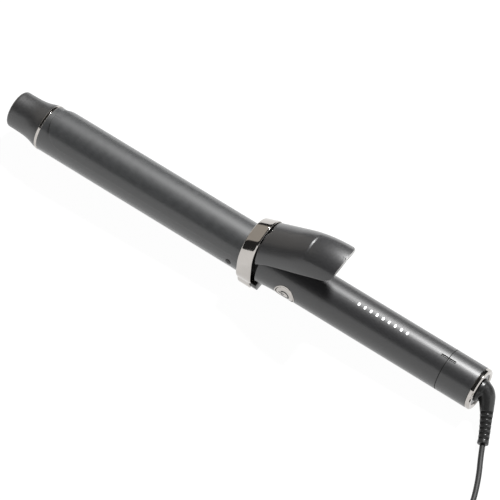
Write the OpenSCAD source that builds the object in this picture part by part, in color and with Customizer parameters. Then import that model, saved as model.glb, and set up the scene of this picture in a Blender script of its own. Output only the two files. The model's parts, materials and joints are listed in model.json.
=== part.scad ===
// Curling iron with a spring clip, a thumb lever, a heat dial and a swivel cord.
// All sizes in mm. The iron is drawn along X about its own axis and then set down on its foot.

/* [Barrel] */
// outer diameter of the heated barrel
barrel_d = 32; // [25:1:38]
// wall thickness of the barrel tube
barrel_wall = 0.9; // [0.7:0.1:1.5]
// x of the barrel's front end
barrel_front = 171.7; // [120:0.1:190]
// overall x of the cool tip's end face
tip_end = 199.2; // [140:0.1:220]
// diameter of the cool tip's end
tip_d = 26; // [20:0.5:30]

/* [Clip] */
// gap between the barrel and the clip
clip_gap = 0.3; // [0.2:0.1:0.8]
// thickness of the clip plate
clip_t = 0.9; // [0.7:0.1:1.5]
// half of the angle that the clip covers
clip_half = 66; // [45:1:80]
// x of the clip's front end
clip_front = 168.4; // [100:0.1:180]

/* [Collar] */
// length of the polished collar
collar_w = 9.2; // [6:0.1:14]
// outer radius of the collar
collar_r = 18.8; // [18:0.1:21]
// how far the collar's rear lip reaches back over the handle and lever
lip = 1.6; // [0.5:0.1:3]
// half width of the foot under the collar
foot_half = 12.9; // [9:0.1:15]

/* [Thumb lever] */
// outer radius of the lever's shell
lever_r = 18; // [16:0.1:20]
// wall thickness of the lever
lever_t = 1.7; // [1.4:0.1:2.5]
// slope of the lever's straight part, in degrees
lever_slope = 27.9; // [15:0.1:32]
// x of the lever's rear end
lever_end = -59.2; // [-70:0.1:-40]

/* [Handle] */
// outer diameter of the handle
handle_d = 29; // [26:0.5:34]
// wall thickness of the handle shell
handle_wall = 2.2; // [1.8:0.1:3]
// x of the seam between the handle and the heat dial
seam_x = -141.3; // [-160:0.1:-120]
// length of the heat dial
dial_w = 22.4; // [14:0.1:26]
// length of the polished ring at the rear end
end_w = 3.1; // [3:0.1:8]

/* [Controls] */
// diameter of the power button
button_d = 13.2; // [10:0.1:15]
// travel of the power button
button_travel = 0.8; // [0.4:0.1:1.2]
// x of the power button's middle
button_x = -26; // [-32:0.1:-20]
// angle of the power button round the handle, from the lever
button_a = -98; // [-120:1:-80]
// angle of the row of lights round the handle, from the lever
led_a = -4; // [-10:1:10]
// distance between two lights
led_pitch = 4.6; // [4:0.1:6]

/* [Cord] */
// diameter of the mains cord
cord_d = 3.6; // [3:0.1:6]

/* [Hidden] */
$fn = 64;

br = barrel_d / 2;
hr = handle_d / 2;
hi = hr - handle_wall;
end_x = seam_x - dial_w - 0.2 - end_w;   // rear face of the end ring
rest_x = end_x + 0.9;                    // where the end ring meets the surface
foot_z = -19.25;                         // the foot's height at the collar's rear edge
tilt = atan((-hr - foot_z) / (0 - rest_x));
lift = -(rest_x * sin(tilt) - hr * cos(tilt));
shift = -16.1;
hinge_x = 4;
hinge_z = -3;
c0 = 11.9;                               // height of the lever's centreline at the collar
bend_r = 56;                            // bend radius of the lever's centreline
bend_x = -30;                            // where the straight part ends
bend_z = c0 - bend_x * tan(lever_slope);
neck_r = 11.8;

// cord route, in the frame of the surface
LEAD = [[-202.7, 27.4, 2.2], [-207, 36, 1.9], [-211.6, 45, 1.8], [-216, 55, 1.8], [-219.4, 64.5, 1.8], [-221.2, 73, 2.2], [-221.4, 81, 3.2], [-219.2, 89, 4.6], [-217.6, 96, 5.3]];
TAIL = [[-252, 127.4, 8.9], [-260, 126.8, 8.8], [-268, 124.4, 8.7], [-275.5, 120, 8.6], [-281.5, 114, 8.5], [-285.8, 106.5, 8.5], [-287.6, 99, 8.5], [-288, 92, 8.5]];
coil_x = -244.6;
coil_y = 100.3;
coil_r = 21;                             // mean radius of the turns
bundle_r = 8.9;                          // radius of the bundle of turns
plug_x = -288;
plug_y = 92;
plug_z = 8.5;

module seat() { translate([shift, 0, lift]) rotate([0, -tilt, 0]) children(); }
// a solid of revolution about X from points of x and radius
module turned(pts) { rotate([0, 90, 0]) rotate_extrude($fn = 96) polygon([for (p = pts) [p[1], p[0]]]); }
module along(x0, x1, r) { translate([x0, 0, 0]) rotate([0, 90, 0]) cylinder(h = x1 - x0, r = r, $fn = 96); }
module tube(x0, x1, r, ri) { difference() { along(x0, x1, r); along(x0 - 1, x1 + 1, ri); } }
// a plate of side outline pts (x, z) with half width w
module side(pts, w) { translate([0, w, 0]) rotate([90, 0, 0]) linear_extrude(2 * w) polygon(pts); }
module across(x, z, y0, y1, r) { translate([x, y0, z]) rotate([-90, 0, 0]) cylinder(h = y1 - y0, r = r); }
// radial placement round the handle: angle a from the lever towards +Y when negative
module round_at(a, x) { translate([x, 0, 0]) rotate([a, 0, 0]) children(); }

// sweep along a list of points with a list of radii
function unit(v) = v / norm(v);
function tang(P, i) = unit(P[min(i + 1, len(P) - 1)] - P[max(i - 1, 0)]);
function sidev(t, up) = unit(cross(t, up));
function ring(p, t, up, r, n) = let (a = sidev(t, up), b = cross(a, t)) [for (k = [0:n - 1]) p + r * (cos(360 * k / n) * a + sin(360 * k / n) * b)];
function cat(L) = [for (a = L) for (b = a) b];
module sweep(P, R, n, up = [0, 0, 1]) {
    m = len(P);
    pts = cat([for (i = [0:m - 1]) ring(P[i], tang(P, i), up, R[i], n)]);
    faces = concat([[for (k = [n - 1:-1:0]) k]], cat([for (i = [0:m - 2]) [for (k = [0:n - 1]) each [[i * n + k, i * n + (k + 1) % n, (i + 1) * n + k], [i * n + (k + 1) % n, (i + 1) * n + (k + 1) % n, (i + 1) * n + k]]]]), [[for (k = [0:n - 1]) (m - 1) * n + k]]);
    polyhedron(pts, [for (f = faces) [for (j = [len(f) - 1:-1:0]) f[j]]], convexity = 6);
}

// ---------- barrel and tip ----------
module barrel() {
    color([0.36, 0.36, 0.37]) seat() difference() {
        tube(7.5, barrel_front, br, br - barrel_wall);
        for (s = [-1, 1]) round_at(s * 92, 17.2) cylinder(h = 20, r = 1.05);
    }
}
module tip_ring() {
    color([0.55, 0.53, 0.5]) seat() turned([[barrel_front, 14.2], [barrel_front, 16.1], [barrel_front + 0.4, 16.3], [barrel_front + 1.6, 16.3], [barrel_front + 2, 16.1], [barrel_front + 2, 14.2]]);
}
module cool_tip() {
    x = barrel_front + 2;
    r = tip_d / 2;
    color([0.24, 0.24, 0.25]) seat() turned([[x, 13.6], [x, 16.05], [x + 1.5, 15.75], [x + 3.5, 15.1], [x + 6, 14.25], [x + 9, 13.65], [x + 12, 13.3], [x + 15, 13.12], [x + 19, 13.02], [tip_end - 2.2, r], [tip_end - 1.1, r - 0.35], [tip_end - 0.35, r - 1.1], [tip_end, r - 2.2], [tip_end, 0], [tip_end - 2, 0], [tip_end - 2, 3.4], [x + 10.2, 3.4], [x + 10.2, 4.6], [tip_end - 3, 4.6], [tip_end - 3, 11.4], [x + 8, 11.6], [x + 3, 13.6]]);
}
module tip_plug() {
    color([0.78, 0.72, 0.6]) seat() difference() {
        turned([[barrel_front - 9, 0], [barrel_front - 9, 15.05], [barrel_front, 15.05], [barrel_front, 14.15], [barrel_front + 2, 14.15], [barrel_front + 2, 13.55], [barrel_front + 4.8, 13.55], [barrel_front + 4.8, 8], [barrel_front + 12.1, 8], [barrel_front + 12.1, 0]]);
        along(barrel_front - 10, barrel_front - 4, 12);
        along(barrel_front - 5, barrel_front + 13, 1.3);
    }
}
module tip_screw() {
    x = barrel_front;
    color([0.7, 0.7, 0.7]) seat() union() { along(x - 6.4, x - 4, 2.6); along(x - 4.2, x + 10, 1.25); }
}
module heat_spreader(s) {
    color([0.75, 0.75, 0.77]) seat() difference() {
        along(38, 148, 15);
        translate([30, -20, s > 0 ? -20 : -1.6]) cube([130, 40, 21.6]);
        translate([30, -7, s > 0 ? 4.5 : -10.5]) cube([130, 14, 6]);
    }
}
module heat_spreader_upper() { heat_spreader(1); }
module heat_spreader_lower() { heat_spreader(-1); }
module heater_plate() { color([0.9, 0.9, 0.86]) seat() translate([45, -7, -1.55]) cube([96, 14, 3.1]); }
module thermistor() { color([0.7, 0.2, 0.15]) seat() translate([92, 0, 6.2]) sphere(r = 1.6); }
module thermal_fuse() { color([0.8, 0.78, 0.7]) seat() translate([0, 0, -6.4]) along(60, 71, 1.8); }
module barrel_socket() {
    color([0.72, 0.62, 0.45]) seat() difference() {
        union() { along(7.5, 22, br - barrel_wall); along(-14, 7.6, neck_r); }
        along(-15, 23, 8);
        for (s = [-1, 1]) round_at(s * 92, 17.2) cylinder(h = 20, r = 0.95);
        for (s = [-1, 1]) across(hinge_x, hinge_z, s > 0 ? 5 : -20, s > 0 ? 20 : -5, 1.5);
    }
}
module barrel_screws() {
    color([0.12, 0.12, 0.12]) seat() for (s = [-1, 1]) round_at(s * 92, 17.2) union() {
        translate([0, 0, 11.5]) cylinder(h = 4.6, r = 0.95);
        intersection() { translate([0, 0, 15.7]) cylinder(h = 1, r = 2.1); translate([0, 0, 10]) sphere(r = 6.5); }
    }
}

// ---------- collar and hinge ----------
module slope_rod(x0, x1, r) {
    // a rod along the lever's straight slope, longer than needed at both ends
    translate([0, 0, c0]) rotate([0, -90 + lever_slope, 0]) rotate([0, 0, 0]) translate([0, 0, x0]) cylinder(h = x1 - x0, r = r, $fn = 96);
}
module hood(r, x0, x1) {
    // barrel-round below, rising with the lever above
    union() {
        along(x0, x1, r);
        intersection() { slope_rod(-40, 40, r - 0.2); translate([x0, -30, 0]) cube([x1 - x0, 60, 60]); }
        intersection() {
            side([[x0, 0], [x1, 0], [x1, c0 - x1 * tan(lever_slope)], [x0, c0 - x0 * tan(lever_slope)]], r - 0.2);
            translate([x0, -30, 0]) cube([x1 - x0, 60, 60]);
        }
    }
}
module collar() {
    color([0.55, 0.53, 0.5]) difference() {
        seat() difference() {
            union() {
                difference() {
                    hood(collar_r, -lip, collar_w);
                    translate([-lip - 1, -30, -30]) cube([lip + 1, 60, 21]);
                }
                rotate([90, 0, 90]) linear_extrude(collar_w) polygon([[-foot_half, -20], [foot_half, -20], [15.2, -15], [16.5, -8], [-16.5, -8], [-15.2, -15]]);
            }
            // passage for the clip and its bracket
            difference() {
                intersection() { hood(collar_r - 1, -4, collar_w + 1); translate([-4, -30, -9]) cube([16, 60, 80]); }
                translate([7.5, -30, -30]) cube([4, 60, 30 - 9]);
            }
            along(7.5, 12, br);
            along(-4, 8, neck_r);
            for (s = [-1, 1]) across(hinge_x, hinge_z, s > 0 ? 10 : -18.1, s > 0 ? 18.1 : -10, 1.5);
        }
        translate([-60, -40, -20]) cube([120, 80, 20]);
    }
}
module foot_pad() {
    color([0.06, 0.06, 0.06]) difference() {
        seat() difference() {
            rotate([90, 0, 90]) translate([0, 0, -4.6]) linear_extrude(4.6) polygon([[-12.3, -18.8], [12.3, -18.8], [14.3, -14.6], [14.9, -10.5], [-14.9, -10.5], [-14.3, -14.6]]);
            turned([[-6, 0], [-6, 15.5], [-4.6, 15.65], [0, 16.25], [1, 16.4], [1, 0]]);
        }
        translate([-60, -40, -20]) cube([120, 80, 20]);
    }
}
module hinge_pins() { color([0.7, 0.7, 0.7]) seat() for (s = [-1, 1]) across(hinge_x, hinge_z, s > 0 ? 9.4 : -18.1, s > 0 ? 18.1 : -9.4, 1.5); }
module clip_springs() {
    color([0.65, 0.65, 0.66]) seat() for (s = [-1, 1]) translate([hinge_x, s * 13.3, hinge_z]) rotate([90, 0, 0]) {
        for (k = [-1:1]) translate([0, 0, k * 0.85]) rotate_extrude($fn = 48) translate([2.4, 0]) circle(r = 0.4, $fn = 16);
        translate([-2.4, -4.4, s * 0.85]) rotate([-90, 0, 0]) cylinder(h = 4.4, r = 0.38, $fn = 16);
        translate([2.4, 0, -s * 0.85]) rotate([-90, 0, 0]) cylinder(h = 8, r = 0.38, $fn = 16);
    }
}

// ---------- clip and thumb lever ----------
module clip() {
    ri = br + clip_gap;
    ro = ri + clip_t;
    zc = ro * cos(clip_half);
    color([0.4, 0.4, 0.41]) seat() difference() {
        union() {
            // the long spoon with its rounded end
            intersection() {
                tube(3.5, clip_front, ro, ri);
                translate([0, -30, zc]) cube([200, 60, 30]);
                linear_extrude(40) polygon(concat([[0, -30], [clip_front - 15.4, -30]],
                    [for (i = [0:20]) let (f = -clip_half + i * clip_half / 10, s = f / clip_half) [clip_front - 15.5 * (1 - sqrt(max(0, 1 - s * s))), (ro + 0.4) * sin(f)]],
                    [[clip_front - 15.4, 30], [0, 30]]));
            }
            // ears on the hinge pins
            intersection() {
                tube(0.9, 14, ro, ri);
                union() {
                    translate([0.9, -30, -5.8]) cube([6.3, 60, 7.8]);
                    translate([3.5, -30, -5.8]) cube([3.7, 60, 16]);
                }
            }
        }
        across(hinge_x, hinge_z, -30, 30, 1.55);
        translate([-10, -8, 0]) cube([13, 16, 30]);
    }
}
module lever_side() {
    side([[-3.5, 17.1], [-3.5, 70], [lever_end + 1, 70], [lever_end + 1, 53.6], [lever_end + 0.1, 52.6], [lever_end, 51.4], [lever_end + 0.9, 48.7], [lever_end + 1.5, 47.2], [lever_end + 2.2, 45.5], [lever_end + 3.8, 43.9], [lever_end + 5.9, 42.5], [-51.3, 41.2], [-48.8, 40.1], [-43.3, 37.8], [-37.6, 35.3], [-31.5, 32.5], [-25, 29.5], [-17.7, 25.9], [-13, 23.6], [-10, 21.9], [-6.6, 19.5]], 40);
}
module thumb_lever() {
    l1 = -bend_x / cos(lever_slope);
    color([0.2, 0.2, 0.21]) seat() union() {
        intersection() {
            difference() { slope_rod(-20, l1, lever_r); slope_rod(-21, l1 + 1, lever_r - lever_t); }
            lever_side();
        }
        intersection() {
            translate([bend_x - bend_r * sin(lever_slope), 0, bend_z - bend_r * cos(lever_slope)]) rotate([90, 0, 0]) rotate([0, 0, 90 - lever_slope]) rotate_extrude(angle = 40, $fn = 180) translate([bend_r, 0]) difference() { circle(r = lever_r + 0.05, $fn = 96); circle(r = lever_r - lever_t - 0.05, $fn = 96); }
            lever_side();
        }
    }
}
module clip_bracket() {
    color([0.5, 0.5, 0.5]) seat() union() {
        for (s = [-1, 1]) translate([0, s * 8.8, 0]) side([[9, 15.2], [9, 17.6], [6, 21.2], [0, 24.8], [-3.2, 27], [-5, 30.4], [-16, 36.2], [-16, 30.5], [-9, 24.8], [-3, 19.8], [2.6, 16.2], [4.5, 15.2]], 1.1);
        // cross plate between the two ribs
        side([[-5, 27.4], [-5, 29], [-15.5, 34.9], [-15.5, 33.3]], 8);
    }
}
module lever_screws() {
    color([0.6, 0.6, 0.6]) seat() for (y = [-4.5, 4.5]) translate([-10.2, y, 30.3]) rotate([0, 28, 0]) union() { translate([0, 0, -1.6]) cylinder(h = 1.4, r = 2.1); translate([0, 0, -0.3]) cylinder(h = 5.5, r = 1); }
}

// ---------- handle ----------
module handle_shell() {
    color([0.2, 0.2, 0.21]) seat() difference() {
        turned([[seam_x, hi], [seam_x, hr - 0.15], [seam_x + 0.15, hr], [-20, hr], [-15, hr + 0.1], [-10, hr + 0.45], [-6, hr + 0.85], [-3.5, hr + 1.15], [-3.5, neck_r], [-14, neck_r], [-14, hi]]);
        // room under the lever for the clip's bracket
        translate([-15, -20, 12.6]) cube([20, 40, 10]);
        round_at(button_a, button_x) cylinder(h = 30, r = button_d / 2 + 1.15);
        for (i = [0:8]) round_at(led_a, -73.4 - i * led_pitch) led_pill(30);
        // index mark across the seam
        round_at(led_a, seam_x) translate([0, -0.65, hr - 0.35]) cube([5.2, 1.3, 3]);
    }
}
module led_pill(h) {
    union() {
        translate([-0.65, -0.5, 0]) cube([1.3, 1, h]);
        for (s = [-1, 1]) translate([0, s * 0.5, 0]) cylinder(h = h, r = 0.65, $fn = 24);
    }
}
module led_lenses() {
    color([0.95, 0.95, 0.95]) seat() intersection() {
        for (i = [0:8]) round_at(led_a, -73.4 - i * led_pitch) translate([0, 0, 11.6]) led_pill(4);
        along(-130, -60, hr);
    }
}
module led_strip() {
    color([0.9, 0.9, 0.8]) seat() union() {
        round_at(led_a, -91.8) translate([-21, -1.5, 9.6]) cube([42, 3, 0.8]);
        for (i = [0:8]) round_at(led_a, -73.4 - i * led_pitch) translate([-0.7, -1, 10.3]) cube([1.4, 2, 0.9]);
    }
}
module chassis() {
    color([0.3, 0.3, 0.32]) seat() difference() {
        tube(seam_x + 4.6, -14.3, hi - 0.1, hi - 1.7);
        translate([-200, -20, -2]) cube([250, 40, 30]);
        round_at(button_a, button_x) cylinder(h = 30, r = 7.9);
    }
}
module control_board() { color([0.1, 0.35, 0.2]) seat() translate([-131.6, -9.6, -1.9]) difference() { cube([95.6, 19.2, 1.4]); for (x = [3.6, 91.6], y = [3, 16.2]) translate([x, y, -1]) cylinder(h = 4, r = 1); } }
module power_module() { color([0.15, 0.15, 0.16]) seat() translate([-122, -7.5, -0.45]) cube([34, 15, 7.6]); }
module board_screws() { color([0.7, 0.7, 0.7]) seat() for (x = [-128, -40], y = [-6.6, 6.6]) translate([x, y, 0]) { translate([0, 0, -0.5]) cylinder(h = 1.3, r = 1.8); translate([0, 0, -5]) cylinder(h = 4.8, r = 0.95); } }
module button_bezel() {
    color([0.55, 0.53, 0.5]) seat() intersection() {
        round_at(button_a, button_x) difference() { translate([0, 0, 10]) cylinder(h = 8, r = button_d / 2 + 1.1); cylinder(h = 30, r = button_d / 2 + 0.3); }
        along(button_x - 12, button_x + 12, hr + 0.25);
        }
}
module power_button() {
    color([0.5, 0.48, 0.46]) seat() union() {
        intersection() {
            round_at(button_a, button_x) translate([0, 0, 9.6]) cylinder(h = 8, r = button_d / 2);
            along(button_x - 12, button_x + 12, hr + 0.1);
        }
        round_at(button_a, button_x) translate([0, 0, 7.6]) cylinder(h = 2.1, r = 1.5);
    }
}
module button_switch() { color([0.15, 0.15, 0.15]) seat() round_at(button_a, button_x) union() { translate([-3, -3, 3.2]) cube([6, 6, 3.2]); } }

// ---------- heat dial and rear end ----------
module dial_spindle() {
    color([0.35, 0.35, 0.36]) seat() difference() {
        turned([[end_x + 2.6, 4.1], [end_x + 2.6, 7.4], [end_x + end_w, 7.4], [end_x + end_w, 6], [seam_x + 1.4, 6], [seam_x + 1.4, 12], [seam_x + 4.4, 12], [seam_x + 4.4, 4.1]]);
        translate([-200, -1, 7]) cube([10, 2, 10]);
    }
}
module dial_encoder() { color([0.1, 0.3, 0.45]) seat() tube(seam_x + 4.5, seam_x + 7, 9, 5.2); }
module heat_dial() {
    x1 = seam_x - 0.15;
    x0 = seam_x - dial_w - 0.05;
    color([0.2, 0.2, 0.21]) seat() difference() {
        turned([[x0, 6.05], [x0, hr - 0.15], [x0 + 0.15, hr], [x1 - 0.15, hr], [x1, hr - 0.15], [x1, 11.8], [x0 + 3, 11.8], [x0 + 3, 8], [x1 - 0.5, 8], [x1 - 0.5, 6.05]]);
        round_at(led_a, seam_x) translate([-5.2, -0.65, hr - 0.35]) cube([5.2, 1.3, 3]);
    }
}
module end_ring() {
    color([0.55, 0.53, 0.5]) seat() turned([[end_x, 11.6], [end_x, hr - 0.9], [end_x + 0.25, hr - 0.35], [end_x + 0.9, hr], [end_x + end_w - 0.3, hr], [end_x + end_w, hr - 0.3], [end_x + end_w, 11.2], [end_x + 0.6, 11.2]]);
}
module end_cap() {
    color([0.1, 0.1, 0.1]) seat() difference() {
        turned([[end_x + 0.9, 8.2], [end_x + 0.9, 11.15], [end_x + end_w, 11.15], [end_x + end_w, 7.45], [end_x + 2.6, 7.45], [end_x + 2.6, 4.3], [end_x + 1.8, 4.3], [end_x + 1.8, 8.2]]);
    }
}
module swivel_stem() {
    color([0.1, 0.1, 0.1]) seat() difference() {
        turned([[end_x + 1.4, 1.9], [end_x + 1.4, 4.05], [seam_x + 9.2, 4.05], [seam_x + 9.2, 1.9]]);
        translate([0, 0, 0]) tube(seam_x + 7.6, seam_x + 8.6, 6, 3.2);
    }
}
module swivel_clip() { color([0.7, 0.7, 0.7]) seat() tube(seam_x + 7.7, seam_x + 8.5, 5.4, 3.2); }

// ---------- cord ----------
BOOT = [[-1.4, 0], [0.2, 0], [1.6, 0.05], [3.4, 0.4], [5.2, 1.5], [7, 3.6], [8.9, 6.5], [10.9, 9.7], [12.7, 13], [14.6, 16.5], [16.4, 20], [18.1, 23.5], [19.6, 27]];
BOOT_R = [7.9, 7.9, 7.5, 6.6, 5.8, 5.2, 4.7, 4.3, 4, 3.8, 3.7, 3.6, 3.7];
BOOT_DROP = [0, 0, 0, 0.1, 0.4, 1.2, 2.6, 4.2, 5.9, 7.5, 8.9, 10, 10.9]; // how far each point is below the axis
module strain_relief() {
    color([0.04, 0.04, 0.04]) {
        sweep([for (i = [0:len(BOOT) - 1]) [shift + (end_x) * cos(tilt) - BOOT[i][0], BOOT[i][1], lift + end_x * sin(tilt) - BOOT_DROP[i]]], BOOT_R, 20);
    }
}
module cord_lead() { color([0.04, 0.04, 0.04]) sweep(LEAD, [for (p = LEAD) cord_d / 2], 8); }
module cord_tail() { color([0.04, 0.04, 0.04]) sweep(TAIL, [for (p = TAIL) cord_d / 2], 8); }
module cord_coil() { color([0.04, 0.04, 0.04]) translate([coil_x, coil_y, bundle_r]) rotate_extrude($fn = 64) translate([coil_r, 0]) circle(r = bundle_r, $fn = 32); }
module cord_tie() {
    // the band lies open where the coil rests on the table
    color([0.1, 0.1, 0.1]) translate([coil_x, coil_y, 0]) rotate([0, 0, 150]) translate([coil_r, -2.5, 0]) difference() {
        translate([0, 0, bundle_r]) rotate([-90, 0, 0]) cylinder(h = 5, r = bundle_r + 1);
        translate([0, -1, bundle_r]) rotate([-90, 0, 0]) cylinder(h = 7, r = bundle_r + 0.1);
        translate([-12, -1, -4]) cube([24, 7, 4.02]);
    }
}
module plug_place() { translate([plug_x, plug_y, 0]) rotate([0, 0, -90]) children(); }
module plug_body() {
    color([0.05, 0.05, 0.05]) plug_place() union() {
        translate([0, 0, plug_z]) rotate([0, 90, 0]) cylinder(h = 13, r1 = 3.2, r2 = 4.6, $fn = 48);
        translate([12, 0, plug_z]) rotate([90, 0, 90]) linear_extrude(22) plug_outline(10.5, 8.5, 3);
    }
}
module plug_outline(a, b, r) {
    union() { square([2 * a, 2 * b - 2 * r], center = true); square([2 * a - 2 * r, 2 * b], center = true); for (x = [-1, 1], y = [-1, 1]) translate([x * (a - r), y * (b - r)]) circle(r = r, $fn = 32); }
}
module plug_blades() {
    color([0.8, 0.78, 0.72]) plug_place() translate([34, 0, plug_z]) for (s = [-1, 1]) translate([-6, s * 6.35 - 0.76, -3.2]) difference() { cube([23, 1.52, 6.4]); translate([18, -1, 3.2]) rotate([-90, 0, 0]) cylinder(h = 4, r = 1.2); }
}

barrel();
cool_tip();
tip_ring();
tip_plug();
tip_screw();
heat_spreader_upper();
heat_spreader_lower();
heater_plate();
thermistor();
thermal_fuse();
barrel_socket();
barrel_screws();
collar();
foot_pad();
hinge_pins();
clip_springs();
clip();
clip_bracket();
thumb_lever();
lever_screws();
handle_shell();
chassis();
control_board();
power_module();
board_screws();
led_lenses();
led_strip();
button_bezel();
power_button();
button_switch();
dial_spindle();
dial_encoder();
heat_dial();
end_ring();
end_cap();
swivel_stem();
swivel_clip();
strain_relief();
cord_lead();
cord_coil();
cord_tie();
cord_tail();
plug_body();
plug_blades();
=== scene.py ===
import json
import math

import bpy
import numpy as np
from mathutils import Matrix, Vector


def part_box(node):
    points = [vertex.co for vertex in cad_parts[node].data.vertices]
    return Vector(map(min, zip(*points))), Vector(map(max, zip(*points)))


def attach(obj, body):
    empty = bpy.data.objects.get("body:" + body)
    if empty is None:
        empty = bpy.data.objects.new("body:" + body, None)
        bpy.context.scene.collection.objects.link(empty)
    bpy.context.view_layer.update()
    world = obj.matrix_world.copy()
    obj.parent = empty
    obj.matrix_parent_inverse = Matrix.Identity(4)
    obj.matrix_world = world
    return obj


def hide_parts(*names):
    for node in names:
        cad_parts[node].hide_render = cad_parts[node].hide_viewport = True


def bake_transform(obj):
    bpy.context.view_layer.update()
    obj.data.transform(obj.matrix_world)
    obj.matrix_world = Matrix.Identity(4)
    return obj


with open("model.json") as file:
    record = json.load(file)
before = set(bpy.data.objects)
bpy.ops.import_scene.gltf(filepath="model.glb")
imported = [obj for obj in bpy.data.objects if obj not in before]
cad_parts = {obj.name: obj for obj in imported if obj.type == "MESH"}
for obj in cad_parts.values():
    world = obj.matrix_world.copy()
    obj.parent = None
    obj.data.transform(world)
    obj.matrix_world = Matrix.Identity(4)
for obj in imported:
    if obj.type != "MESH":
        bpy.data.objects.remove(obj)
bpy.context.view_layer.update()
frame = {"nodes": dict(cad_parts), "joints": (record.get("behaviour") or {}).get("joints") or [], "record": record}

scene = bpy.context.scene
nodes = frame["nodes"]
joints = {j["name"]: j for j in frame["joints"]}

# ---------------------------------------------------------------- the iron's own frame, in mm
# The dial turns about the iron's axis, and its joint sits at x = -150 mm on it.
AX = Vector(joints["heat_dial_turn"]["axis"]).normalized()
AY = Vector((0.0, 1.0, 0.0))
AZ = AX.cross(AY).normalized()
ORIGIN = Vector(joints["heat_dial_turn"]["pos_m"]) + AX * 0.150
SEAT = np.array([[AX[i], AY[i], AZ[i]] for i in range(3)], float)
ORG = np.array(ORIGIN, float)


def row(pts):
    """iron frame, mm -> row frame, m"""
    return np.asarray(pts, float).reshape(-1, 3) @ SEAT.T * 0.001 + ORG


def iron(pts):
    """row frame, m -> iron frame, mm"""
    return (np.asarray(pts, float).reshape(-1, 3) - ORG) @ SEAT * 1000.0


def extent(node):
    co = np.array([v.co for v in nodes[node].data.vertices], float)
    p = iron(co)
    return p.min(0), p.max(0)


# ---------------------------------------------------------------- camera first
cam_data = bpy.data.cameras.new("camera")
cam = bpy.data.objects.new("camera", cam_data)
scene.collection.objects.link(cam)
CAM_AT = Vector((-0.633930, 1.030076, 1.716609))
RIGHT = Vector((-0.821893, -0.568207, 0.040393))
UP = Vector((0.483065, -0.657644, 0.578059))
BACK = Vector((-0.301893, 0.494615, 0.814995))
cam.matrix_world = Matrix(((RIGHT.x, UP.x, BACK.x, CAM_AT.x), (RIGHT.y, UP.y, BACK.y, CAM_AT.y), (RIGHT.z, UP.z, BACK.z, CAM_AT.z), (0, 0, 0, 1)))
cam_data.sensor_width = 36.0
cam_data.lens = 231.54
cam_data.clip_start, cam_data.clip_end = 0.05, 30.0
cam_data.dof.use_dof = False
scene.camera = cam


# ---------------------------------------------------------------- mesh helpers
def make(name, co, faces, body, mat, replaces=(), sharp=32.0, blend=None, smooth=True):
    mesh = bpy.data.meshes.new(name)
    mesh.from_pydata([tuple(p) for p in np.asarray(co, float)], [], [tuple(int(i) for i in f) for f in faces])
    mesh.validate()
    mesh.update()
    if smooth:
        mesh.shade_smooth()
        if sharp < 179:
            mesh.set_sharp_from_angle(angle=math.radians(sharp))
    mesh.materials.append(mat)
    obj = bpy.data.objects.new(name, mesh)
    scene.collection.objects.link(obj)
    if replaces:
        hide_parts(*replaces)
    if blend:
        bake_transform(obj)
    else:
        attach(obj, body)
    return obj


def grid_faces(rows, cols, wrap_cols=True, wrap_rows=False, base=0, flip=False):
    out = []
    for i in range(rows if wrap_rows else rows - 1):
        i2 = (i + 1) % rows
        for k in range(cols if wrap_cols else cols - 1):
            k2 = (k + 1) % cols
            f = [base + i * cols + k, base + i * cols + k2, base + i2 * cols + k2, base + i2 * cols + k]
            out.append(f[::-1] if flip else f)
    return out


def outward(co, faces):
    """turns the faces of one closed mesh outward, by its signed volume"""
    co = np.asarray(co, float)
    vol = 0.0
    for f in faces:
        a = co[f[0]]
        for i in range(1, len(f) - 1):
            vol += np.dot(a, np.cross(co[f[i]], co[f[i + 1]]))
    return faces if vol > 0 else [list(f)[::-1] for f in faces]


def fillet(pts, radii, seg=5):
    """rounds the corners of a closed outline; radii is one number or one for each corner"""
    n = len(pts)
    P = [np.array(p, float) for p in pts]
    rr = [radii] * n if np.isscalar(radii) else list(radii)
    out = []
    for i in range(n):
        a, b, c = P[i - 1], P[i], P[(i + 1) % n]
        u, v = a - b, c - b
        lu, lv = np.linalg.norm(u), np.linalg.norm(v)
        r = rr[i]
        if r <= 0 or lu < 1e-9 or lv < 1e-9:
            out.append(b)
            continue
        u, v = u / lu, v / lv
        ang = math.acos(max(-1, min(1, float(u @ v))))
        if ang > math.pi - 0.05:
            out.append(b)
            continue
        d = min(r / math.tan(ang / 2), 0.48 * lu, 0.48 * lv)
        r2 = d * math.tan(ang / 2)
        m = u + v
        m = m / np.linalg.norm(m)
        cen = b + m * (r2 / math.sin(ang / 2))
        s, e = b + u * d - cen, b + v * d - cen
        a0 = math.atan2(s[1], s[0])
        a1 = math.atan2(e[1], e[0])
        da = (a1 - a0 + math.pi) % (2 * math.pi) - math.pi
        for k in range(seg + 1):
            t = a0 + da * k / seg
            out.append(cen + r2 * np.array([math.cos(t), math.sin(t)]))
    return out


def spline(pts, n):
    """a smooth curve through the points, n steps between two of them"""
    P = np.array(pts, float)
    m = np.zeros_like(P)
    t = np.concatenate([[0], np.cumsum(np.linalg.norm(np.diff(P, axis=0), axis=1))])
    for i in range(len(P)):
        a, b = max(i - 1, 0), min(i + 1, len(P) - 1)
        m[i] = (P[b] - P[a]) / (t[b] - t[a])
    out = []
    for i in range(len(P) - 1):
        h = t[i + 1] - t[i]
        for k in range(n):
            s = k / n
            out.append((2 * s**3 - 3 * s**2 + 1) * P[i] + (s**3 - 2 * s**2 + s) * h * m[i] + (-2 * s**3 + 3 * s**2) * P[i + 1] + (s**3 - s**2) * h * m[i + 1])
    out.append(P[-1])
    return out


def lathe(profile, n=160):
    """closed outline of (x, r) turned about the iron's axis"""
    m = len(profile)
    a = np.arange(n) * 2 * math.pi / n
    co = np.array([[p[0], p[1] * math.sin(t), p[1] * math.cos(t)] for p in profile for t in a])
    faces = grid_faces(m, n, True, True)
    return row(co), outward(co, faces)


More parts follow.
